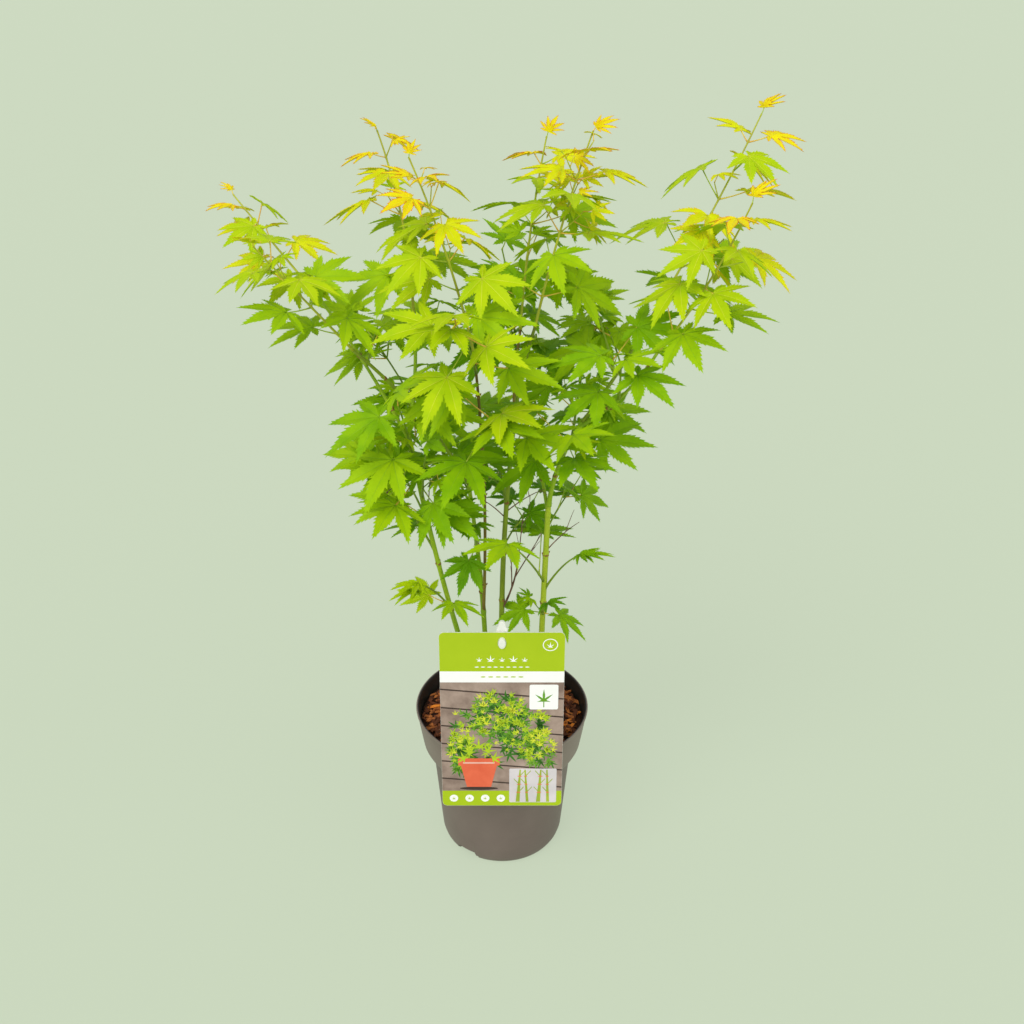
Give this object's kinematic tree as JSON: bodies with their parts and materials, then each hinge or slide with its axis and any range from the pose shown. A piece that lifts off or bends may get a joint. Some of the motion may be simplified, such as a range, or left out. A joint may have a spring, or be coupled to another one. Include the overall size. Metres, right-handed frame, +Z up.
{
  "type": "potted japanese maple",
  "caption": "Young Japanese maple with green stems and finely cut lime leaves, yellow at the top, in a collared plastic nursery pot of bark mulch, with a hang card on a peg.",
  "frame": {"origin": "the middle of the pot's flat underside, on the level that it stands on", "axes": "+Z up the plant, -Y the front, where the card hangs and the picture was taken from, +X to the right seen from the front"},
  "size_m": [0.4383, 0.2621, 0.6376],
  "materials": {
    "pot_plastic": "matt taupe-grey moulded plastic",
    "potting_mix": "moist potting mix topped with bark chips",
    "card_plastic": "printed plastic card, satin",
    "peg_plastic": "white moulded plastic",
    "green_bark": "smooth young green bark",
    "dead_wood": "dry brown twig",
    "foliage": "thin soft leaves, lime to yellow"
  },
  "bodies": {
    "root": {"pot": "pot_plastic", "potting_mix": "potting_mix", "label_card": "card_plastic", "label_peg": "peg_plastic", "dead_shoot": "dead_wood", "stem_left": "green_bark", "stem_left_centre": "green_bark", "stem_centre": "green_bark", "stem_right": "green_bark", "bough_left": "green_bark", "bough_left_top": "green_bark", "bough_left_back": "green_bark", "bough_thin": "green_bark", "bough_centre_front": "green_bark", "bough_centre_back": "green_bark", "bough_right": "green_bark", "bough_right_inner": "green_bark", "bough_right_back": "green_bark", "bough_right_front": "green_bark", "spray_right_back_top": "foliage", "spray_right_front_top": "foliage", "spray_left_tip": "foliage", "spray_left": "foliage", "spray_left_top": "foliage", "spray_centre_left_top": "foliage", "spray_centre_top": "foliage", "spray_centre_back_top": "foliage", "spray_left_front": "foliage", "spray_left_low": "foliage", "spray_left_middle": "foliage", "spray_left_foot": "foliage", "spray_left_inner": "foliage", "spray_centre_foot": "foliage", "spray_centre_front": "foliage", "spray_centre_upper": "foliage", "spray_right_low": "foliage", "spray_right_side": "foliage", "spray_right_foot": "foliage", "spray_right_middle": "foliage", "spray_right_outer": "foliage", "spray_right_upper": "foliage", "spray_back_centre": "foliage", "spray_back_left": "foliage", "spray_back_right": "foliage", "spray_back_low": "foliage"}
  },
  "joints": []
}
